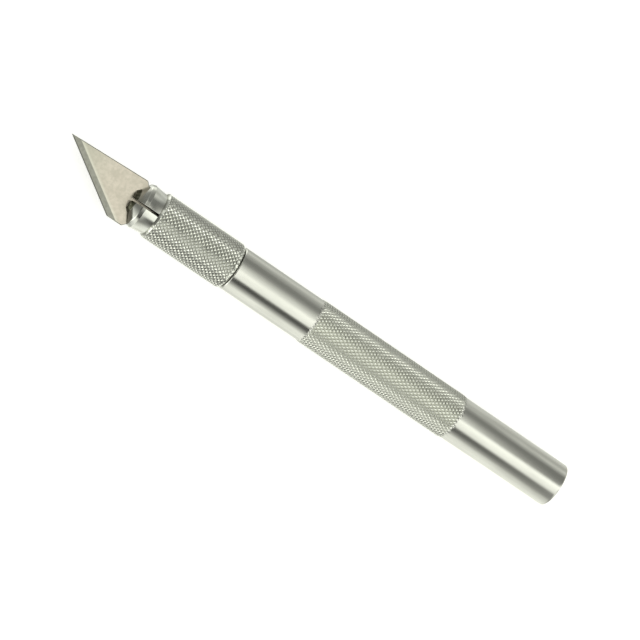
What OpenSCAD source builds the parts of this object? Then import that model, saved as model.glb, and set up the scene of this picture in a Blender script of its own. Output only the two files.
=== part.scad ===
/* [Barrel] */
// Diameter of the smooth bar
barrel_d = 11.1; // [10.6:0.1:13]
// Length of the smooth tail behind the grip
tail_len = 29.9; // [10:0.1:60]
// Length of the knurled grip
grip_len = 42; // [20:0.1:80]
// Length of the smooth neck between the grip and the collar
neck_len = 21.9; // [8:0.1:50]
// How far the crests of the knurl stand proud of the bar
grip_rise = 0.15; // [0.05:0.01:0.3]
// Depth of the knurl on the grip
grip_depth = 0.24; // [0.12:0.02:0.4]
// Crests round the grip
grip_teeth = 39; // [24:1:44]
// Spacing of the crests along the grip
grip_pitch = 1.38; // [1.2:0.02:3]
// Rounding of the rim at the tail
tail_round = 0.45; // [0.2:0.05:1.5]
// Diameter of the spigot that centres the collar
spigot_d = 7.8; // [7:0.1:8.4]
// Length of the spigot
spigot_len = 2.4; // [1.5:0.1:4]

/* [Collar] */
// Diameter over the knurl
collar_d = 11.8; // [11.6:0.1:14]
// Depth of the knurl on the collar
collar_depth = 0.28; // [0.12:0.02:0.4]
// Crests round the collar
collar_teeth = 33; // [24:1:40]
// Spacing of the crests along the collar
collar_pitch = 1.12; // [0.9:0.02:3]
// Length from the barrel's shoulder to the mouth
collar_len = 22.2; // [18:0.1:30]
// Rounding of the rear corner
collar_round = 1.3; // [0.5:0.1:1.4]
// Length of the bevel round the mouth
mouth_bevel = 0.5; // [0.3:0.1:1.5]
// Thickness of the lip at the mouth
mouth_lip = 0.2; // [0.1:0.05:0.4]
// Size of the chamfer inside the mouth
mouth_flare = 0.2; // [0.05:0.05:0.3]

/* [Collet] */
// Diameter of the head at its ridge
head_d = 11.4; // [10.8:0.1:11.5]
// Distance from the collar's mouth to the ridge
ridge_out = 3.3; // [2:0.1:4]
// Distance from the collar's mouth to the tip of the nose
nose_out = 6.7; // [5.8:0.1:8]
// Size of the bevel round the front of the nose
nose_bevel = 0.8; // [0.4:0.1:1.2]
// Angle of the cone behind the ridge, from the axis
seat_angle = 6; // [5:0.5:12]
// Diameter of the four fingers behind the cone
finger_d = 8.6; // [8.4:0.1:8.9]
// Diameter of the drilled hole between the fingers
core_d = 3; // [2:0.1:4]
// Width of the slot that crosses the blade's slot
cross_slot = 0.42; // [0.3:0.02:0.8]
// Thickness of the solid ring where the fingers join
ring_t = 2.5; // [1.5:0.1:4]
// Space between the spigot and that ring when the collet is drawn tight
ring_space = 2.1; // [0.5:0.1:4]
// Diameter over the stem's thread
stem_d = 5; // [4:0.1:6]
// Length of the stem
stem_len = 18; // [10:0.1:24]
// Advance of the stem for one turn
thread_pitch = 0.8; // [0.5:0.05:1.25]

/* [Blade] */
// Length from the tip to the end of the tang
blade_len = 41.2; // [34:0.1:42]
// Width of the blade over its shoulders
blade_w = 11.9; // [10:0.1:14]
// How far the middle of that width lies off the tang's middle, towards the cutting edge
blade_off = 0.4; // [0:0.05:0.6]
// Thickness of the blade
blade_t = 0.6; // [0.4:0.05:1]
// Angle of the cutting edge to the axis
edge_angle = 32.8; // [26:0.1:45]
// Angle of the spine to the axis
spine_angle = 2.3; // [0:0.1:5]
// Width of the ground bevel
bevel_w = 1.4; // [0.8:0.1:2.5]
// Width of the honed bevel at the very edge
hone_w = 0.25; // [0.1:0.05:0.5]
// Angle of the honed bevel
hone_angle = 18; // [14:0.5:24]
// Width of the tang
tang_w = 8; // [6:0.1:8.2]
// Width of the slot in the end of the tang
tang_slot_w = 2.2; // [1:0.1:3]
// Length of the slot in the end of the tang
tang_slot_len = 9; // [3:0.1:14]

/* [Fits] */
// Radial clearance of the stem and the spigot
run_gap = 0.05; // [0.02:0.01:0.09]
// Clearance between the blade and each side of its slot
blade_gap = 0.03; // [0.02:0.01:0.1]
// Clearance between the two cones, square to them
seat_gap = 0.02; // [0.015:0.005:0.05]
// Clearance between the collar and the barrel's shoulder
face_gap = 0.04; // [0.02:0.01:0.1]
// Radial clearance of the fingers in the collar
finger_gap = 0.2; // [0.15:0.05:0.3]

/* [Hidden] */

// Stations along the axis, from the tail at 0 towards the tip
grip_x = tail_len;
neck_x = grip_x + grip_len;
shoulder_x = neck_x + neck_len;
spigot_x = shoulder_x + spigot_len;
mouth_x = shoulder_x + collar_len;
ridge_x = mouth_x + ridge_out;
nose_x = mouth_x + nose_out;
ring_x = spigot_x + ring_space;
slot_x = ring_x + ring_t;
slot_end_gap = 0.2;
tang_x = slot_x + slot_end_gap;
tip_x = tang_x + blade_len;

// Barrel
barrel_r = barrel_d / 2;
crest_r = barrel_r + grip_rise;
root_r = crest_r - grip_depth;
spigot_r = spigot_d / 2;
rim_bevel = 0.2;
// The metal under a knurl lies this far below its roots and runs this far past its ends
under = 0.02;
land = 0.05;
skin = 0.5;

// Collar
collar_r = collar_d / 2;
collar_root_r = collar_r - collar_depth;
sleeve_r = finger_d / 2 + finger_gap;
seat_slope = tan(seat_angle);
seat_offset = seat_gap / cos(seat_angle);

// Collet: the cone runs back from the ridge until it meets the fingers
head_r = head_d / 2;
finger_r = finger_d / 2;
cone_x = ridge_x - (head_r - finger_r) / seat_slope;
stem_r = stem_d / 2;
stem_x = ring_x - stem_len;
stem_bevel = 0.5;
relief_len = 1.75 * thread_pitch;
relief_depth = 0.4;
bore_spare = 2;
drill_cone = 0.6;
brow_len = 0.9;
brow_drop = 0.32;
brow_round = 1.2;
ridge_round = 0.25;
ring_round = 0.3;
countersink = 0.6;
rim_r = core_d / 2 + countersink;

// Blade: +y is the side of the cutting edge, and its shoulders stop just inside the nose
edge_y = blade_off + blade_w / 2;
spine_y = blade_off - blade_w / 2;
half_t = blade_t / 2;
half_tang = tang_w / 2;
heel_in = 1.65;
spine_heel_in = 1.25;
heel_x = nose_x - heel_in;
spine_heel_x = nose_x - spine_heel_in;
heel_round = 0.5;
tang_bevel = 0.8;
tang_slot_round = 0.45 * tang_slot_w;
spine_tip_y = spine_y + (tip_x - spine_heel_x) * tan(spine_angle);
edge_x = tip_x - (edge_y - spine_tip_y) / tan(edge_angle);
edge_len = (tip_x - edge_x) / cos(edge_angle);
hone_h = hone_w * tan(hone_angle);
bevel_angle = atan((half_t - hone_h) / (bevel_w - hone_w));
over = 1;

$fn = 96;

// Points of an arc that rounds the corner p1 between p0 and p2
function corner(p0, p1, p2, r, n = 6) =
    let (
        u = (p0 - p1) / norm(p0 - p1),
        v = (p2 - p1) / norm(p2 - p1),
        half = acos(u * v) / 2,
        c = p1 + (u + v) / norm(u + v) * r / sin(half),
        s = p1 + u * r / tan(half) - c,
        e = p1 + v * r / tan(half) - c,
        a = atan2(s.y, s.x),
        turn = (atan2(e.y, e.x) - a + 540) % 360 - 180
    )
    [for (i = [0:n]) c + r * [cos(a + turn * i / n), sin(a + turn * i / n)]];

// A list of [x, y, radius] corners as an outline with those corners rounded
function outline(q) =
    [for (i = [0:len(q) - 1])
        let (
            k = len(q),
            p = [q[i].x, q[i].y],
            before = q[(i + k - 1) % k],
            after = q[(i + 1) % k]
        )
        each (q[i].z > 0 ?
            corner([before.x, before.y], p, [after.x, after.y], q[i].z) : [p])];

// Turns an outline of [station, radius] points about the x axis
module turned(points) {
    rotate([90, 0, 90])
        rotate_extrude()
            polygon([for (p = points) [p.y, p.x]]);
}

// A round bar or hole along the axis
module rod(r, from, to) {
    translate([from, 0, 0])
        rotate([0, 90, 0])
            cylinder(r = r, h = to - from);
}

// A knurled skin that closes on itself inside the metal. Crossed helical grooves leave
// pyramids: crests and roots alternate as on a chessboard. Two inner rings close the skin
module knurl(from, to, crest, root, inside, teeth, pitch) {
    rows = 2 * round((to - from) / pitch);
    rings = rows + 3;
    ring = 2 * teeth;
    step = (to - from) / rows;
    spot = function(x, r, j) [x, r * cos(360 * j / ring), r * sin(360 * j / ring)];
    points = [
        for (i = [0:rows], j = [0:ring - 1]) spot(from + i * step, (i + j) % 2 == 0 ? crest : root, j),
        for (x = [to, from], j = [0:ring - 1]) spot(x, inside, j)
    ];
    faces = [for (i = [0:rings - 1], j = [0:ring - 1])
        let (
            next = (i + 1) % rings * ring,
            p = i * ring + j,
            q = i * ring + (j + 1) % ring,
            s = next + j,
            t = next + (j + 1) % ring
        )
        each ((i + j) % 2 == 0 ? [[p, s, q], [q, s, t]] : [[p, t, q], [p, s, t]])];
    polyhedron(points, faces);
}

module barrel() {
    bore_r = stem_r + run_gap;
    color("#b9bab8") {
        turned(outline([
            [0, 0, 0],
            [0, barrel_r, tail_round],
            [grip_x - land - rim_bevel, barrel_r, 0],
            [grip_x - land, root_r - under, 0],
            [(grip_x + neck_x) / 2, root_r - skin / 2, 0],
            [neck_x + land, root_r - under, 0],
            [neck_x + land + rim_bevel, barrel_r, 0],
            [shoulder_x - rim_bevel, barrel_r, 0],
            [shoulder_x, barrel_r - rim_bevel, 0],
            [shoulder_x, spigot_r, 0],
            [spigot_x - rim_bevel, spigot_r, 0],
            [spigot_x, spigot_r - rim_bevel, 0],
            [spigot_x, bore_r, 0],
            [stem_x - bore_spare, bore_r, 0],
            [stem_x - bore_spare - bore_r * drill_cone, 0, 0]
        ]));
        knurl(grip_x, neck_x, crest_r, root_r, root_r - skin, grip_teeth, grip_pitch);
    }
}

module collar() {
    back_x = shoulder_x + face_gap;
    mouth_r = head_r - ridge_out * seat_slope + seat_offset;
    seat_x = mouth_x - (mouth_r - sleeve_r) / seat_slope;
    step_x = spigot_x + 2 * rim_bevel;
    flare = min(mouth_flare, 0.6 * mouth_lip);
    color("#a9aaa6") {
        turned(outline([
            [back_x, collar_root_r - under, collar_round],
            [mouth_x - mouth_bevel, collar_root_r - under, 0],
            [mouth_x, mouth_r + mouth_lip, 0],
            [mouth_x, mouth_r + flare, 0],
            [mouth_x - flare, mouth_r - flare * seat_slope, 0],
            [seat_x, sleeve_r, 0],
            [step_x, sleeve_r, 0],
            [step_x, spigot_r + run_gap, 0],
            [back_x, spigot_r + run_gap, 0]
        ]));
        knurl(back_x + collar_round + land, mouth_x - mouth_bevel - land,
            collar_r, collar_root_r, (mouth_r + collar_root_r) / 2, collar_teeth, collar_pitch);
    }
}

module collet() {
    color("#cfd0cc")
        difference() {
            turned(outline([
                [nose_x, 0, 0],
                [stem_x, 0, 0],
                [stem_x, stem_r - stem_bevel, 0],
                [stem_x + stem_bevel, stem_r, 0],
                [ring_x - relief_len, stem_r, 0],
                [ring_x - relief_len, stem_r - relief_depth, 0],
                [ring_x, stem_r - relief_depth, 0],
                [ring_x, finger_r, ring_round],
                [cone_x, finger_r, 0],
                [ridge_x, head_r, ridge_round],
                [ridge_x + brow_len, head_r - brow_drop, brow_round],
                [nose_x - nose_bevel, rim_r + nose_bevel, 0],
                [nose_x, rim_r, 0]
            ]));
            rod(core_d / 2, slot_x + over, nose_x + over);
            turned([
                [nose_x - countersink, 0],
                [nose_x - countersink, core_d / 2],
                [nose_x + over, rim_r + over],
                [nose_x + over, 0]
            ]);
            blade_slot = blade_t + 2 * blade_gap;
            cut_len = nose_x + over - slot_x;
            cut_w = head_d + 2 * over;
            translate([slot_x, -cut_w / 2, -blade_slot / 2])
                cube([cut_len, cut_w, blade_slot]);
            translate([slot_x, -cross_slot / 2, -cut_w / 2])
                cube([cut_len, cross_slot, cut_w]);
        }
}

// What the grinder takes off one face, seen from the heel of the edge
module ground(inset, rise, angle) {
    translate([edge_x, edge_y, 0])
        rotate([0, 0, -edge_angle])
            translate([-blade_w, -inset, rise])
                rotate([-angle, 0, 0])
                    translate([0, -blade_w, 0])
                        cube([edge_len + 2 * blade_w, 2 * blade_w, blade_w]);
}

module blade() {
    color("#d2cbb8")
        difference() {
            translate([0, 0, -half_t])
                linear_extrude(blade_t)
                    polygon(outline([
                        [tip_x, spine_tip_y, 0],
                        [edge_x, edge_y, 0],
                        [heel_x, edge_y, heel_round],
                        [heel_x + half_tang - edge_y, half_tang, heel_round],
                        [tang_x + tang_bevel, half_tang, 0],
                        [tang_x, half_tang - tang_bevel, 0],
                        [tang_x, tang_slot_w / 2, 0],
                        [tang_x + tang_slot_len, tang_slot_w / 2, tang_slot_round],
                        [tang_x + tang_slot_len, -tang_slot_w / 2, tang_slot_round],
                        [tang_x, -tang_slot_w / 2, 0],
                        [tang_x, tang_bevel - half_tang, 0],
                        [tang_x + tang_bevel, -half_tang, 0],
                        [spine_heel_x + half_tang + spine_y, -half_tang, heel_round],
                        [spine_heel_x, spine_y, heel_round]
                    ]));
            for (side = [0, 1])
                mirror([0, 0, side]) {
                    ground(hone_w, hone_h, bevel_angle);
                    ground(0, 0, hone_angle);
                }
        }
}

barrel();
collar();
collet();
blade();
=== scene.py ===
import math

import bmesh
import bpy
import numpy as np
from mathutils import Matrix, Vector


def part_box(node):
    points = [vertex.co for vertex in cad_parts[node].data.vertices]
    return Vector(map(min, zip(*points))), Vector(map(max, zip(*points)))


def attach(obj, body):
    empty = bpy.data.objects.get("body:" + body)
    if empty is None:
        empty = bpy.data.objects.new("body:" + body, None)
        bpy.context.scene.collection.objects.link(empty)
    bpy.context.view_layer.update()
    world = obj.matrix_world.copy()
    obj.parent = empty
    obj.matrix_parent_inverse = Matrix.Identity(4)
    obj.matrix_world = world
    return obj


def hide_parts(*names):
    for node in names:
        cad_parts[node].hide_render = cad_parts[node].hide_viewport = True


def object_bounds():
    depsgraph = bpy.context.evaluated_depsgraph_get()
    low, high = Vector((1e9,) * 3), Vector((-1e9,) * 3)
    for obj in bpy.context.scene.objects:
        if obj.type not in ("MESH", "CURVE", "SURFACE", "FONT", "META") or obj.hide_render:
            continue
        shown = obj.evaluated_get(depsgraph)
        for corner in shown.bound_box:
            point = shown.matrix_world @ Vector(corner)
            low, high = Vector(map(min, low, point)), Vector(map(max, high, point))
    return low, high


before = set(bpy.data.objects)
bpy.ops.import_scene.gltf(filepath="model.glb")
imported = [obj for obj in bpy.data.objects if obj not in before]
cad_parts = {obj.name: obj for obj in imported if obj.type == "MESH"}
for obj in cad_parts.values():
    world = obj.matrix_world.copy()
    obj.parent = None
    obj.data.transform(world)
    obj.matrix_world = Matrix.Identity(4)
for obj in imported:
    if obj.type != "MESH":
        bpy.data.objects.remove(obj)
cad_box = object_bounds()

# The barrel is one turned and polished aluminium bar. A diamond knurl is rolled into its
# grip, and its front end carries the spigot that centres the collar and a deep hole for
# the stem of the collet.
mm = 0.001
scene = bpy.context.scene
barrel_low, barrel_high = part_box("barrel")
tail_end = barrel_low.x
spigot_end = barrel_high.x
bar_radius = 5.55 * mm
rim_round = 0.45 * mm
neck_len = 21.9 * mm
grip_len = 42 * mm
spigot_len = 2.4 * mm
spigot_radius = 3.9 * mm
bore_radius = 2.55 * mm
bore_depth = 17.9 * mm
drill_point = 0.6 * bore_radius
small_bevel = 0.2 * mm
shoulder = spigot_end - spigot_len
neck_start = shoulder - neck_len
grip_start = neck_start - grip_len
grip_crest = bar_radius + 0.15 * mm
grip_depth = 0.24 * mm
grip_pitches = 30
grip_teeth = 39
grip_flat = 0.42
run_out = 0.9 * mm
run_out_curve = 0.7
plain_edge = 0.3 * mm
crest_spread = 0.05
grain = 3  # mesh cells in half a pitch of a knurl
bar_bright = (0.70, 0.70, 0.67)
bar_dull = (0.64, 0.64, 0.61)
grip_pale = (0.80, 0.81, 0.76)
grip_painted_shade = (0.34, 0.34, 0.30)
bar_rough = 0.17
bar_relief = 0.003 * mm


def rounded(corners, steps=6):
    """Outline points from corners of (station, radius, rounding), with arcs for roundings."""
    points = []
    for i, (x, r, size) in enumerate(corners):
        here = Vector((x, r))
        if not size:
            points.append(here)
            continue
        back = (Vector(corners[i - 1][:2]) - here).normalized()
        ahead = (Vector(corners[(i + 1) % len(corners)][:2]) - here).normalized()
        half = back.angle(ahead) / 2
        centre = here + (back + ahead).normalized() * size / math.sin(half)
        first = here + back * size / math.tan(half) - centre
        last = here + ahead * size / math.tan(half) - centre
        turn = first.angle_signed(last)
        for k in range(steps + 1):
            spoke = Matrix.Rotation(-turn * k / steps, 2) @ first
            points.append(centre + spoke)
    return points


def diamonds(pitches, teeth, flat, seed):
    """Heights of a diamond knurl, from 0 in its crossed grooves to 1 on its blunted crests.

    It has this many pitches along the piece and teeth round it, and flat says how much of
    each diamond is blunted. Every crest differs a little in height from its neighbours.
    """
    along = np.arange(pitches * 2 * grain + 1)[:, None] / grain
    around = np.arange(teeth * 2 * grain)[None, :] / grain
    reach = 2 - abs(along % 2 - 1) - abs(around % 2 - 1)
    height = np.clip(abs(reach - 1) / (1 - flat), 0, 1)
    odd = (reach > 1).astype(int)
    crest_row = 2 * np.floor((along + 1 - odd) / 2).astype(int) + odd
    crest_column = 2 * np.floor((around + 1 - odd) / 2).astype(int) + odd
    crests = (2 * pitches + 2, 2 * teeth)
    spread = np.random.default_rng(seed).normal(0, crest_spread, crests)
    return np.minimum(height * (1 + spread[crest_row, crest_column % (2 * teeth)]), 1)


def turned(name, rows, columns, looped=False):
    """A closed mesh from rows of (stations, radii, lattice row), turned about the x axis.

    Cells between two knurled rows are split into triangles along the knurl's grooves.
    """
    angles = np.arange(columns) * 2 * math.pi / columns
    verts, first, single = [], [], []
    for x, r, _ in rows:
        first.append(len(verts))
        single.append(np.ndim(r) == 0 and r == 0)
        if single[-1]:
            verts.append((x, 0, 0))
        else:
            ring = np.broadcast_arrays(x, r * np.cos(angles), r * np.sin(angles))
            verts.extend(np.stack(ring, 1).tolist())
    lengths = [0.0]
    for (x0, r0, _), (x1, r1, _) in zip(rows, rows[1:] + rows[:1]):
        step = math.hypot(np.mean(x1) - np.mean(x0), np.mean(r1) - np.mean(r0))
        lengths.append(lengths[-1] + step)
    faces, places = [], []

    def add(*corners):
        faces.append([first[i % len(rows)] + (0 if single[i % len(rows)] else j % columns)
                      for i, j in corners])
        places.extend((lengths[i] / lengths[-1], j / columns) for i, j in corners)

    for i in range(len(rows) if looped else len(rows) - 1):
        after = (i + 1) % len(rows)
        cells = rows[i][2], rows[after][2]
        for j in range(columns):
            corners = (i, j), (i, j + 1), (i + 1, j + 1), (i + 1, j)
            if single[i]:
                add(corners[0], corners[2], corners[3])
            elif single[after]:
                add(corners[0], corners[1], corners[2])
            elif None in cells:
                add(*corners)
            elif (cells[0] // grain + j // grain) % 2:
                add(corners[0], corners[1], corners[2])
                add(corners[0], corners[2], corners[3])
            else:
                add(corners[0], corners[1], corners[3])
                add(corners[1], corners[2], corners[3])
    mesh = bpy.data.meshes.new(name)
    mesh.from_pydata(verts, [], faces)
    # The unrolled rows and columns are the map that a bake uses.
    layer = mesh.uv_layers.new(name="OFBake")
    layer.uv.foreach_set("vector", np.array(places, np.float32).ravel())
    return mesh


def placed(name, mesh, body, sharp=30):
    """A smooth-shaded piece that rides on a body. Edges past the sharp angle stay crisp."""
    mesh.shade_smooth()
    mesh.set_sharp_from_angle(angle=math.radians(sharp))
    piece = bpy.data.objects.new(name, mesh)
    scene.collection.objects.link(piece)
    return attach(piece, body)


def plain(points):
    """Rows of an outline with no knurl on them."""
    return [(p[0], p[1], None) for p in points]


def barrel_rows():
    """The bar from its tail over the grip to the spigot, and back down the bore.

    The smooth rows stop just short of the knurl, so that its shading stays off the bar.
    """
    tail = rounded([
        (tail_end, 0, 0),
        (tail_end, bar_radius, rim_round),
        (grip_start - plain_edge, bar_radius, 0)])
    lattice = diamonds(grip_pitches, grip_teeth, grip_flat, seed=4)
    stations = np.linspace(grip_start, neck_start, len(lattice))
    inside = np.minimum(stations - grip_start, neck_start - stations)
    ease = np.clip(inside / run_out, 0, 1) ** run_out_curve
    radii = grip_crest - grip_depth * (1 - lattice)
    radii = bar_radius + (radii - bar_radius) * ease[:, None]
    grip = [(x, r, i) for i, (x, r) in enumerate(zip(stations, radii))]
    front = rounded([
        (neck_start + plain_edge, bar_radius, 0),
        (shoulder - small_bevel, bar_radius, 0),
        (shoulder, bar_radius - small_bevel, 0),
        (shoulder, spigot_radius, 0),
        (spigot_end - small_bevel, spigot_radius, 0),
        (spigot_end, spigot_radius - small_bevel, 0),
        (spigot_end, bore_radius, 0),
        (spigot_end - bore_depth, bore_radius, 0),
        (spigot_end - bore_depth - drill_point, 0, 0)])
    return plain(tail) + grip + plain(front)


class Wire:
    """A shader socket that works in Python expressions, which add the Math nodes."""

    def __init__(self, tree, socket=None):
        self.tree, self.socket = tree, socket

    def node(self, kind, settings=(), values=(), output=0):
        """Adds a node: its settings first, and then a value or a link for each socket."""
        made = self.tree.nodes.new("ShaderNode" + kind)
        for name, value in dict(settings).items():
            if name == "stops":
                ramp = made.color_ramp.elements
                while len(ramp) < len(value):
                    ramp.new(0.5)
                for stop, (position, colour) in zip(ramp, value):
                    stop.position, stop.color = position, (*colour, 1)
            else:
                setattr(made, name, value)
        for name, value in dict(values).items():
            if isinstance(value, Wire):
                self.tree.links.new(value.socket, made.inputs[name])
            elif isinstance(value, tuple) and made.inputs[name].type == "RGBA":
                made.inputs[name].default_value = (*value, 1)
            else:
                made.inputs[name].default_value = value
        return Wire(self.tree, made.outputs[output]) if made.outputs else None

    def math(self, operation, *terms):
        return self.node("Math", {"operation": operation}, dict(enumerate(terms)))

    def vector(self, operation, *terms, output="Vector"):
        return self.node("VectorMath", {"operation": operation}, dict(enumerate(terms)), output)

    def __add__(self, other):
        return self.math("ADD", self, other)

    def __sub__(self, other):
        return self.math("SUBTRACT", self, other)

    def __rsub__(self, other):
        return self.math("SUBTRACT", other, self)

    def __mul__(self, other):
        return self.math("MULTIPLY", self, other)

    def __pow__(self, other):
        return self.math("POWER", self, other)

    def __abs__(self):
        return self.math("ABSOLUTE", self)

    __radd__, __rmul__ = __add__, __mul__

    def part(self, axis):
        """One coordinate of a place."""
        return self.node("SeparateXYZ", (), {0: self}, axis)

    def rise(self, low, high, curve="SMOOTHSTEP"):
        """Goes from 0 at low to 1 at high."""
        return self.node("MapRange", {"interpolation_type": curve},
                         {"Value": self, "From Min": low, "From Max": high})

    def mix(self, first, second):
        """The first colour where this mask is 0, and the second where it is 1."""
        return self.node("Mix", {"data_type": "RGBA"}, {0: self, 6: first, 7: second}, 2)

    def noise(self, scale, detail, stretch=(1, 1, 1)):
        """Noise of this many bumps a metre on a place, drawn out along the stretched axes."""
        place = self.vector("MULTIPLY", self, stretch)
        return place.node("TexNoise", (), {"Vector": place, "Scale": scale, "Detail": detail})


def finish(name, colour):
    """A new material with its colour in plain views, and the place on the piece."""
    material = bpy.data.materials.new(name)
    material.use_nodes = True
    material.diffuse_color = (*colour, 1)
    return material, Wire(material.node_tree).node("TexCoord", output="Object")


def set_metal(material, colour, rough, relief, depth):
    """Makes the material a metal of this colour and roughness, with relief this deep."""
    shader = material.node_tree.nodes["Principled BSDF"]
    shader.inputs["Metallic"].default_value = 1
    bump = relief.node("Bump", (), {"Height": relief, "Strength": 0.5, "Distance": depth})
    for name, value in {"Base Color": colour, "Roughness": rough, "Normal": bump}.items():
        material.node_tree.links.new(value.socket, shader.inputs[name])


def off_axis(place):
    """Distance from the knife's axis."""
    flat = place.vector("MULTIPLY", place, (0, 1, 1))
    return flat.vector("LENGTH", flat, output="Value")


def bar_finish():
    """Polished bar with faint turning rings and scratches, paler and rougher in the knurl."""
    material, place = finish("bar_aluminium", (0.66, 0.66, 0.63))
    x = place.part("X")
    grip = x.rise(grip_start, grip_start + run_out) * (1 - x.rise(neck_start - run_out, neck_start))
    groove = grip * (1 - off_axis(place).rise(grip_crest - grip_depth, grip_crest))
    patches = place.noise(260, 3, (0.3, 1, 1)).rise(0.35, 0.7)
    mottle = place.noise(1300, 3, (0.7, 1, 1))
    rings = place.noise(9000, 1, (1, 0.01, 0.01))
    scratches = place.noise(5200, 1, (0.2, 1, 1)).rise(0.66, 0.74)
    colour = grip.mix(patches.mix(bar_bright, bar_dull), grip_pale)
    # Painted shade darkens the knurl's grooves.
    colour = (groove ** 3 * 0.45).mix(colour, grip_painted_shade)
    rough = bar_rough + 0.05 * patches + 0.06 * scratches + 0.08 * grip
    relief = 1.3 * mottle + 0.25 * rings * (1 - grip) + 0.15 * scratches
    set_metal(material, colour, rough, relief, bar_relief)
    return material


barrel_mesh = turned("barrel", barrel_rows(), grip_teeth * 2 * grain)
barrel_mesh.materials.append(bar_finish())
barrel = placed("turned_barrel", barrel_mesh, "barrel")
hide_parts("barrel")

# The collet is turned from steel and nickel plated. Its threaded stem screws into the
# barrel, and two crossed saw cuts split its domed head into four sprung fingers. The wider
# cut holds the blade.
collet_low, collet_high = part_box("collet")
stem_end = collet_low.x
nose = collet_high.x
stem_radius = 2.5 * mm
stem_len = 18 * mm
stem_bevel = 0.5 * mm
thread_pitch = 0.8 * mm
thread_depth = 0.45 * mm
thread_steepness = 1.25
thread_steps = 8
relief_len = 1.4 * mm
relief_depth = 0.4 * mm
ring_start = stem_end + stem_len
ring_len = 2.5 * mm
ring_round = 0.3 * mm
ring_overlap = 0.5 * mm
slot_start = ring_start + ring_len
finger_radius = 4.3 * mm
head_radius = 5.7 * mm
core_radius = 1.5 * mm
ridge = nose - 3.4 * mm
ridge_round = 0.18 * mm
seat_slope = math.tan(math.radians(6))
cone_start = ridge - (head_radius - finger_radius) / seat_slope
cone_round = 1.5 * mm
hollow_start = ridge - 3.6 * mm
hollow_slope = math.tan(math.radians(10))
hollow_radius = 24 * mm
dome_len = 0.9 * mm
dome_drop = 0.32 * mm
dome_round = 0.6 * mm
nose_bevel = 1.1 * mm
bevel_start = nose - nose_bevel
bevel_round = 0.1 * mm
countersink = 0.6 * mm
rim_radius = core_radius + countersink
nose_round = 0.5 * mm
blade_cut = 0.66 * mm
cross_cut = 0.42 * mm
cut_bevel = 0.07 * mm
finger_columns = 40
stem_columns = 64
plate_bright = (0.72, 0.73, 0.70)
plate_dull = (0.66, 0.66, 0.62)
plate_rough = 0.10
plate_relief = 0.004 * mm
# Painted shade at the nose and beside the blade, mottled between these two tones.
nose_shade_dark = (0.10, 0.10, 0.07)
nose_shade_light = (0.26, 0.26, 0.20)
# The saw cuts' walls: painted black shade deep in the head, painted light in the nose.
sawn_painted_shadow = (0.012, 0.012, 0.011)
sawn_painted_light = (0.62, 0.60, 0.55)
sawn_rough = 0.6
sawn_relief = 0.005 * mm
shade_wedge_slope = 0.42
# Each fade goes from its first place to its second.
shade_wedge_fade = (ridge + 0.6 * mm, ridge + 0.9 * mm)
shade_wedge_half_fade = (0.6 * mm, 0.8 * mm)
shade_wedge_side_fade = (-3 * mm, -2.4 * mm)
bevel_fade = (bevel_start - 0.04 * mm, bevel_start + 0.06 * mm)
lit_nose_fade = (ridge - 0.1 * mm, ridge + 0.5 * mm)


def stem_rows():
    """The stem with its rolled thread, and the ring that the fingers grow from."""
    angles = np.arange(stem_columns) / stem_columns
    thread_end = ring_start - relief_len
    stations = np.arange(stem_end + stem_bevel, thread_end, thread_pitch / thread_steps)
    rows = plain([(stem_end, 0), (stem_end, stem_radius - stem_bevel)])
    for x in stations:
        phase = (x / thread_pitch - angles) % 1
        height = np.clip(thread_steepness * (1 - abs(2 * phase - 1)), 0, 1)
        ease = min(1, (thread_end - x) / thread_pitch)
        rows.append((x, stem_radius - thread_depth * (1 - height) * ease, None))
    return rows + plain(rounded([
        (thread_end, stem_radius, 0),
        (thread_end, stem_radius - relief_depth, 0),
        (ring_start, stem_radius - relief_depth, 0),
        (ring_start, finger_radius, ring_round),
        (slot_start + ring_overlap, finger_radius, 0),
        (slot_start + ring_overlap, 0, 0)]))


def finger_outline():
    """Outer face of a finger from its root to the nose, and back down the drilled core."""
    return rounded([
        (slot_start, finger_radius, 0),
        (cone_start, finger_radius, cone_round),
        (hollow_start, head_radius - (ridge - hollow_start) * seat_slope, 0),
        ((hollow_start + ridge) / 2, head_radius - (ridge - hollow_start) / 2 * hollow_slope,
         hollow_radius),
        (ridge, head_radius, ridge_round),
        (ridge + dome_len, head_radius - dome_drop, dome_round),
        (bevel_start, rim_radius + nose_bevel, bevel_round),
        (nose, rim_radius, nose_round),
        (nose - countersink, core_radius, 0),
        (slot_start, core_radius, 0)], steps=8)


def finger(quarter):
    """One finger as a closed mesh, with a small bevel along both sides of each cut."""
    outline = finger_outline()
    count = len(outline)
    cuts = (blade_cut, cross_cut) if quarter % 2 else (cross_cut, blade_cut)
    verts = []
    for i, p in enumerate(outline):
        back = (p - outline[i - 1]).normalized()
        ahead = (outline[(i + 1) % count] - p).normalized()
        along = (back + ahead).normalized()
        inset = p + Vector((along.y, -along.x)) * cut_bevel
        start, end = (math.asin((w / 2 + cut_bevel) / p.y) for w in cuts)
        sweep = np.linspace(start, math.pi / 2 - end, finger_columns)
        start, end = (math.asin(w / 2 / inset.y) for w in cuts)
        arc = [(inset, start), *((p, angle) for angle in sweep), (inset, math.pi / 2 - end)]
        for (x, r), angle in arc:
            angle += quarter * math.pi / 2
            verts.append((x, r * math.cos(angle), r * math.sin(angle)))
    wide = finger_columns + 2
    faces = []
    for i in range(count):
        here, after = i * wide, (i + 1) % count * wide
        faces += [(here + j, here + j + 1, after + j + 1, after + j) for j in range(wide - 1)]
    faces.append([i * wide for i in range(count)])
    faces.append([i * wide + wide - 1 for i in reversed(range(count))])
    mesh = bpy.data.meshes.new("finger")
    mesh.from_pydata(verts, [], faces)
    for sawn_wall in mesh.polygons[-2:]:
        sawn_wall.material_index = 1
    return mesh


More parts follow.
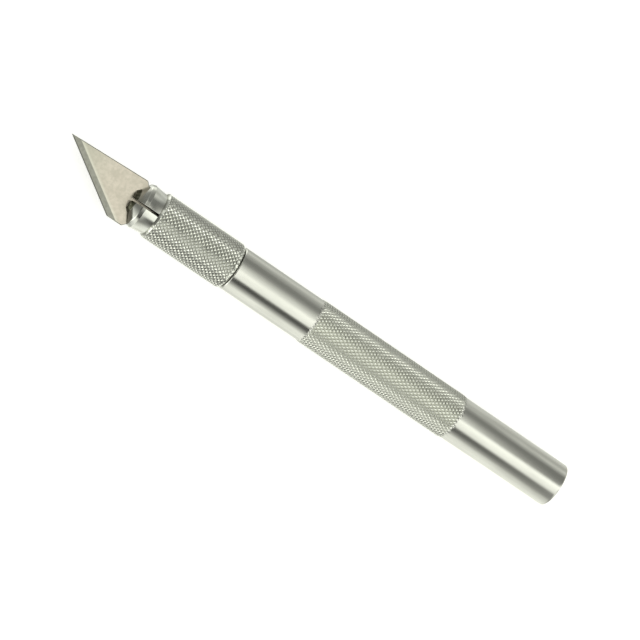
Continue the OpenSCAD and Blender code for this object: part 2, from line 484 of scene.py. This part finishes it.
def fused(name, meshes):
    """Joins overlapping closed meshes into one solid."""
    objects = [bpy.data.objects.new(name, m) for m in meshes]
    for piece in objects:
        scene.collection.objects.link(piece)
    for other in objects[1:]:
        union = objects[0].modifiers.new(name, "BOOLEAN")
        union.operation, union.solver, union.object = "UNION", "EXACT", other
    solid = objects[0].evaluated_get(bpy.context.evaluated_depsgraph_get())
    mesh = bpy.data.meshes.new_from_object(solid)
    for piece in objects:
        bpy.data.objects.remove(piece)
    return mesh


def plate_finish():
    """Bright nickel plate over fine turning rings, with painted shade in dark steel tones.

    The nose's bevel is painted with this shade, and so is a wedge of the dome on either face
    of the blade, which opens towards the nose and ends short of the spine's side.
    """
    material, place = finish("plated_steel", (0.70, 0.71, 0.68))
    patches = place.noise(420, 3).rise(0.35, 0.7)
    rings = place.noise(7000, 1, (1, 0.02, 0.02))
    specks = place.noise(2600, 2).rise(0.62, 0.75)
    x = place.part("X")
    # Painted shade: the nose's bevel and a wedge of the dome beside the blade take a dark steel
    # tone.
    wedge = abs(place.part("Z")) - (x - ridge) * shade_wedge_slope
    shade_wedge = (1 - wedge.rise(*shade_wedge_half_fade)) * x.rise(*shade_wedge_fade)
    shade_wedge = shade_wedge * place.part("Y").rise(*shade_wedge_side_fade)
    nose_shade = x.math("MAXIMUM", x.rise(*bevel_fade), shade_wedge)
    steel = place.noise(1400, 2).rise(0.45, 0.7).mix(nose_shade_dark, nose_shade_light)
    colour = nose_shade.mix(patches.mix(plate_bright, plate_dull), steel)
    rough = plate_rough + 0.04 * patches + 0.1 * specks + 0.2 * nose_shade
    relief = 0.5 * place.noise(900, 2) + 0.3 * rings + 0.2 * specks
    set_metal(material, colour, rough, relief, plate_relief)
    return material


def sawn_finish():
    """Dull walls of the saw cuts, painted black shade deep in the head and painted light in its
    nose.
    """
    material, place = finish("sawn_steel", (0.03, 0.03, 0.028))
    lit_nose = place.part("X").rise(*lit_nose_fade)
    marks = place.noise(6000, 1, (1, 0.05, 0.05))
    # Painted shade deep in the cuts, and painted light in the nose where light gets in.
    colour = lit_nose.mix(sawn_painted_shadow, sawn_painted_light)
    set_metal(material, colour, sawn_rough - 0.1 * lit_nose, marks, sawn_relief)
    return material


stem_mesh = turned("stem", stem_rows(), stem_columns)
collet_parts = [stem_mesh] + [finger(q) for q in range(4)]
plate, sawn = plate_finish(), sawn_finish()
for part in collet_parts:
    part.materials.append(plate)
    part.materials.append(sawn)
collet_mesh = fused("collet", collet_parts)
collet = placed("slotted_collet", collet_mesh, "collet", sharp=20)
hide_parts("collet")

# The collar is an aluminium sleeve, knurled all over, that turns on the barrel's spigot. The
# cone inside its mouth presses the fingers onto the blade.
collar_low, collar_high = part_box("collar")
collar_back = collar_low.x
mouth = collar_high.x
collar_radius = 5.9 * mm
collar_round = 1.3 * mm
collar_depth = 0.28 * mm
collar_pitches = 20
collar_teeth = 33
collar_flat = 0.1
corner_plain = 0.5  # radians round the rear corner before the knurl starts
corner_ease = 0.6
lip_len = 0.5 * mm
lip_width = 0.2 * mm
lip_bevel = 0.06 * mm
lip_ease = 0.3 * mm
lip_knurl = 0.3  # share of the knurl's depth that is left at the lip
sleeve_radius = 4.5 * mm
sleeve_start = spigot_end + 2 * small_bevel
seat_gap = 0.02 * mm
run_gap = 0.05 * mm
mouth_radius = head_radius - (ridge - mouth) * seat_slope + seat_gap
mouth_flare = 0.12 * mm
lip_radius = mouth_radius + lip_width
seat_start = mouth - (mouth_radius - sleeve_radius) / seat_slope
crest_fade = (collar_radius - collar_depth, collar_radius - 0.04 * mm)
flank_fade = (collar_back + 0.5 * mm, collar_back + 1.1 * mm)
collar_bright = (0.84, 0.85, 0.81)
collar_dull = (0.77, 0.78, 0.74)
collar_painted_shade = (0.22, 0.22, 0.18)
collar_rough = 0.13
collar_relief = 0.004 * mm


def collar_rows():
    """The knurl from round the rear corner to the lip, and back along the bored inside."""
    lattice = diamonds(collar_pitches, collar_teeth, collar_flat, seed=9)
    arc_len = collar_round * math.pi / 2
    lengths = np.linspace(0, arc_len + mouth - lip_len - collar_back - collar_round, len(lattice))
    rows = []
    for i, (run, heights) in enumerate(zip(lengths, lattice)):
        angle = min(run / collar_round, math.pi / 2)
        x = collar_back + collar_round * (1 - math.cos(angle)) + max(run - arc_len, 0)
        r = collar_radius - collar_round * (1 - math.sin(angle))
        ease = min(1, max(0, angle - corner_plain) / corner_ease)
        ease *= min(1, (lengths[-1] - run) / lip_ease + lip_knurl)
        sink = collar_depth * (1 - heights) * ease
        rows.append((x + sink * math.cos(angle), r - sink * math.sin(angle), i))
    inside = rounded([
        (mouth - lip_bevel, lip_radius, 0),
        (mouth, lip_radius - lip_bevel / 2, 0),
        (mouth, mouth_radius + mouth_flare, 0),
        (mouth - mouth_flare, mouth_radius - mouth_flare * seat_slope, 0),
        (seat_start, sleeve_radius, 0),
        (sleeve_start, sleeve_radius, 0),
        (sleeve_start, spigot_radius + run_gap, 0),
        (collar_back, spigot_radius + run_gap, 0)])
    return rows + plain(inside)


def collar_finish():
    """Knurled aluminium, with painted shade in the grooves that leaves the crests bright.

    The plain flank behind the knurl lies as low as the grooves, and stays bright.
    """
    material, place = finish("collar_aluminium", (0.6, 0.61, 0.58))
    deep = (1 - off_axis(place).rise(*crest_fade)) * place.part("X").rise(*flank_fade)
    patches = place.noise(500, 3).rise(0.35, 0.7)
    rings = place.noise(8000, 1, (1, 0.02, 0.02))
    colour = patches.mix(collar_bright, collar_dull)
    # Painted shade darkens the grooves, though not on the plain flank.
    colour = (deep ** 3 * 0.5).mix(colour, collar_painted_shade)
    rough = collar_rough + 0.05 * patches
    relief = 0.6 * place.noise(3000, 2) + 0.3 * rings
    set_metal(material, colour, rough, relief, collar_relief)
    return material


collar_mesh = turned("collar", collar_rows(), collar_teeth * 2 * grain, looped=True)
collar_mesh.materials.append(collar_finish())
collar = placed("knurled_collar", collar_mesh, "collar")
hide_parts("collar")

# The blade is stamped from hardened strip, with a satin face. Its slanted edge is ground
# from both sides and then honed, and its slotted tang slides into the wider cut of the
# collet.
blade_low, blade_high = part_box("blade")
tang_end = blade_low.x
tip = blade_high.x
spine_side = blade_low.y
edge_side = blade_high.y
half_thick = blade_high.z
half_tang = 4 * mm
heel = nose - 1.65 * mm
spine_heel = nose - 1.25 * mm
heel_round = 0.5 * mm
tang_bevel = 0.8 * mm
tang_slot = 1.1 * mm
tang_slot_len = 9 * mm
tang_slot_round = 0.9 * tang_slot
edge_angle = math.radians(32.8)
spine_angle = math.radians(2.3)
spine_tip = spine_side + (tip - spine_heel) * math.tan(spine_angle)
edge_start = tip - (edge_side - spine_tip) / math.tan(edge_angle)
edge_point = Vector((edge_start, edge_side, 0))
edge_along = Vector((math.cos(edge_angle), -math.sin(edge_angle), 0))
edge_inward = Vector((-math.sin(edge_angle), -math.cos(edge_angle), 0))
hone_width = 0.25 * mm
hone_angle = math.radians(18)
hone_height = hone_width * math.tan(hone_angle)
bevel_width = 1.4 * mm
bevel_angle = math.atan((half_thick - hone_height) / (bevel_width - hone_width))
rim_bevel = 0.17 * mm
same_place = 1e-7
crisp = 0.02 * mm
# A painted highlight rises at the bevel's line and fades out over the flat.
glint_rise = (bevel_width - 0.05 * mm, bevel_width + 0.05 * mm)
glint_fade = (bevel_width + 0.1 * mm, bevel_width + 0.8 * mm)
steel_bright = (0.60, 0.545, 0.48)
steel_dull = (0.56, 0.51, 0.445)
steel_tip = (0.46, 0.455, 0.385)
steel_mottle = (0.36, 0.35, 0.29)
rim_dark = (0.30, 0.30, 0.28)
ground_bright = (0.38, 0.38, 0.345)
ground_dull = (0.31, 0.31, 0.275)
hone_dark = (0.25, 0.25, 0.23)
glint_bright = (0.76, 0.77, 0.69)
tip_fade = (nose + 4 * mm, tip)
steel_rough = 0.28
steel_relief = 0.005 * mm


def blade_solid():
    """The stamped outline, extruded, with both ground faces cut from each side."""
    outline = rounded([
        (tip, spine_tip, 0),
        (edge_start, edge_side, 0),
        (heel, edge_side, heel_round),
        (heel + half_tang - edge_side, half_tang, heel_round),
        (tang_end + tang_bevel, half_tang, 0),
        (tang_end, half_tang - tang_bevel, 0),
        (tang_end, tang_slot, 0),
        (tang_end + tang_slot_len, tang_slot, tang_slot_round),
        (tang_end + tang_slot_len, -tang_slot, tang_slot_round),
        (tang_end, -tang_slot, 0),
        (tang_end, tang_bevel - half_tang, 0),
        (tang_end + tang_bevel, -half_tang, 0),
        (spine_heel + half_tang + spine_side, -half_tang, heel_round),
        (spine_heel, spine_side, heel_round)], steps=16)
    solid = bmesh.new()
    base = solid.faces.new([solid.verts.new((*p, -half_thick)) for p in outline])
    top = bmesh.ops.extrude_face_region(solid, geom=[base])["geom"]
    lift = [v for v in top if isinstance(v, bmesh.types.BMVert)]
    bmesh.ops.translate(solid, vec=(0, 0, 2 * half_thick), verts=lift)
    bmesh.ops.recalc_face_normals(solid, faces=solid.faces)
    cuts = [(hone_width, hone_height, bevel_angle), (0, 0, hone_angle)]
    for side in (-1, 1):
        for inset, height, angle in cuts:
            normal = -edge_inward * math.sin(angle) + Vector((0, 0, side * math.cos(angle)))
            point = edge_point + edge_inward * inset + Vector((0, 0, side * height))
            everything = solid.verts[:] + solid.edges[:] + solid.faces[:]
            cut = bmesh.ops.bisect_plane(solid, geom=everything, dist=1e-9, plane_co=point,
                                         plane_no=normal, clear_outer=True)["geom_cut"]
            rim = [e for e in cut if isinstance(e, bmesh.types.BMEdge)]
            bmesh.ops.holes_fill(solid, edges=rim, sides=0)
    bmesh.ops.remove_doubles(solid, verts=solid.verts, dist=same_place)
    bmesh.ops.recalc_face_normals(solid, faces=solid.faces)
    return solid


def soften_rim(solid):
    """Bevels the outline's edges on both faces, as tumbling does, but not the ground edge."""
    rim = []
    for edge in solid.edges:
        upright = [f for f in edge.link_faces if abs(f.normal.z) < 0.1]
        on_face = all(abs(abs(v.co.z) - half_thick) < same_place for v in edge.verts)
        if len(upright) == 1 and on_face:
            rim.append(edge)
    bmesh.ops.bevel(solid, geom=rim, offset=rim_bevel, segments=2, affect="EDGES", profile=0.5)


def blade_finish():
    """Satin strip with a warm tone, a cross-ground bevel and a finer hone at the edge.

    A faint painted highlight follows the line where the bevel starts.
    """
    material, place = finish("blade_steel", (0.64, 0.6, 0.5))
    away = place.vector("SUBTRACT", place, edge_point[:])
    depth = away.vector("DOT_PRODUCT", away, edge_inward[:], output="Value")
    run = away.vector("DOT_PRODUCT", away, edge_along[:], output="Value")
    ground = 1 - depth.rise(bevel_width - crisp, bevel_width + crisp)
    honed = 1 - depth.rise(hone_width - crisp, hone_width + crisp)
    edge_glint = depth.rise(*glint_rise) * (1 - depth.rise(*glint_fade))
    rim = 1 - abs(place.part("Z")).rise(half_thick - crisp, half_thick)
    satin = place.noise(2400, 3, (0.12, 1, 1))
    clouds = place.noise(300, 3).rise(0.35, 0.7)
    lines = run.node("TexNoise", {"noise_dimensions": "1D"}, {"W": run, "Scale": 9000.0})
    mottle = place.noise(1500, 3).rise(0.3, 0.7)
    colour = clouds.mix(steel_bright, steel_dull)
    colour = place.part("X").rise(*tip_fade).mix(colour, steel_tip)
    colour = (mottle * 0.35).mix(colour, steel_mottle)
    colour = rim.mix(colour, rim_dark)
    colour = ground.mix(colour, mottle.mix(ground_bright, ground_dull))
    colour = honed.mix(colour, hone_dark)
    # Painted highlight along the line where the bevel starts.
    colour = (edge_glint * 0.35).mix(colour, glint_bright)
    rough = steel_rough + 0.03 * clouds + 0.04 * ground
    relief = satin * (1 - ground) + 0.8 * lines * ground
    set_metal(material, colour, rough, relief, steel_relief)
    return material


blade_mesh = bpy.data.meshes.new("blade")
solid = blade_solid()
soften_rim(solid)
solid.to_mesh(blade_mesh)
solid.free()
blade_mesh.materials.append(blade_finish())
blade = placed("slant_blade", blade_mesh, "blade", sharp=7)
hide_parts("blade")

# The knife lies on a plain white table, which is no part of it. The table glows a little so
# that shadows stay faint, and the polished metal doesn't mirror it.
table_half = 3.0
table_white = (0.82, 0.82, 0.81)
table_glow = 0.62
table_mesh = bpy.data.meshes.new("table")
table_corners = [(-1, -1), (1, -1), (1, 1), (-1, 1)]
table_mesh.from_pydata(
    [(table_half * x, table_half * y, cad_box[0].z) for x, y in table_corners], [], [(0, 1, 2, 3)])
table = bpy.data.objects.new("table", table_mesh)
scene.collection.objects.link(table)
table_paint = bpy.data.materials.new("table_white")
table_paint.use_nodes = True
table_sockets = table_paint.node_tree.nodes["Principled BSDF"].inputs
table_sockets["Base Color"].default_value = (*table_white, 1)
table_sockets["Roughness"].default_value = 0.8
table_sockets["Specular IOR Level"].default_value = 0
table_sockets["Emission Color"].default_value = (1, 1, 1, 1)
table_sockets["Emission Strength"].default_value = table_glow
table_mesh.materials.append(table_paint)
table.visible_glossy = False

# The light is a studio tent round the knife, made as rings round the knife's axis. A ring's
# first number is how far forward it lies, from -1 behind the tail to 1 ahead of the tip, and
# its panels run from below past the spine's side, overhead and past the edge's side.
tent_strength = 2.2
tent_tint = (0.985, 1.0, 0.91)
tent = [
    (-0.71, [(-180, 0.45), (-140, 0.4), (-112, 0.28), (-72, 0.22), (-55, 0.2), (-35, 0.12),
             (-10, 0.95), (15, 0.5), (30, 0.22), (45, 0.85), (75, 0.4), (88, 0.08),
             (120, 0.1), (150, 0.2)]),
    (-0.43, [(-180, 0.78), (-110, 0.22), (-85, 0.4), (-60, 0.1), (-15, 0.08), (-2, 0.7),
             (32, 0.52), (45, 0.1), (75, 0.14), (92, 0.32), (135, 0.6)]),
    (-0.14, [(-180, 0.24), (-145, 0.12), (-115, 0.44), (-90, 0.12), (-75, 0.05), (-45, 0.2),
             (-18, 0.66), (33, 0.55), (39, 0.01), (57, 0.01), (75, 0.34), (90, 0.66),
             (120, 0.56), (140, 0.28), (165, 0.5)]),
    (0.43, [(-180, 0.7), (-150, 0.5), (-128, 0.95), (-108, 0.26), (-75, 0.14), (-38, 0.08),
            (-28, 0.2), (-15, 0.2), (-1, 0.48), (14, 0.22), (30, 0.08), (60, 0.04),
            (78, 0.55), (92, 0.45), (130, 0.12)]),
    (0.71, [(-180, 0.48), (-150, 0.22), (-132, 0.12), (-80, 0.18), (-55, 0.15), (-32, 0.5),
            (-15, 0.2), (15, 0.09), (42, 0.1), (60, 0.2), (78, 0.9), (122, 1.0), (150, 0.6)]),
    (1.0, [(-180, 0.1), (-20, 0.09), (25, 0.03), (140, 0.02)])]


def ring(around, panels):
    """One ring's light, from panels of (degrees from overhead to the edge's side, level)."""
    stops = [(angle / 360 + 0.5, [level * t for t in tent_tint]) for angle, level in panels]
    return around.node("ValToRGB", {"stops": stops + [(1, stops[0][1])]}, {0: around})


world = bpy.data.worlds.new("tent")
scene.world = world
world.use_nodes = True
world.node_tree.nodes.clear()
ray = Wire(world.node_tree).node("TexCoord", output="Generated")
forward = ray.part("X")
around = ray.math("ARCTAN2", ray.part("Y"), ray.part("Z")) * (0.5 / math.pi) + 0.5
walls = ring(around, tent[0][1])
for (behind, _), (ahead, panels) in zip(tent, tent[1:]):
    walls = forward.rise(behind, ahead, "LINEAR").mix(walls, ring(around, panels))
backdrop = (1 / tent_strength,) * 3  # plain white, once the strength is applied
light = ray.node("LightPath", output="Is Camera Ray").mix(walls, backdrop)
glow = ray.node("Background", (), {"Color": light, "Strength": tent_strength})
ray.node("OutputWorld", (), {"Surface": glow})

# The camera looks down at the knife from as far off as in the photograph, turned and leaned
# in the same way, and aims close to the middle of the knife.
camera_distance = 0.9
camera_lens = 219.2
camera_sensor = 36
lean_along, lean_across = math.radians(14.6), math.radians(3.5)
roll = math.radians(145.81)
aim_ahead = 69.69 * mm
aim_across = -1.31 * mm
towards = Vector((math.sin(lean_along), math.cos(lean_along) * math.sin(lean_across),
                  math.cos(lean_along) * math.cos(lean_across)))
along = (Vector((1, 0, 0)) - towards * towards.x).normalized()
across = towards.cross(along)
right = along * math.cos(roll) - across * math.sin(roll)
up = along * math.sin(roll) + across * math.cos(roll)
aim = Vector((aim_ahead, 0, 0)) + across * aim_across
camera_data = bpy.data.cameras.new("camera")
camera_data.lens = camera_lens
camera_data.sensor_width = camera_sensor
camera = bpy.data.objects.new("camera", camera_data)
scene.collection.objects.link(camera)
facing = Matrix((right, up, towards)).transposed().to_4x4()
camera.matrix_world = Matrix.Translation(aim + towards * camera_distance) @ facing
scene.camera = camera
scene.view_settings.view_transform = "Standard"
scene.cycles.use_denoising = True
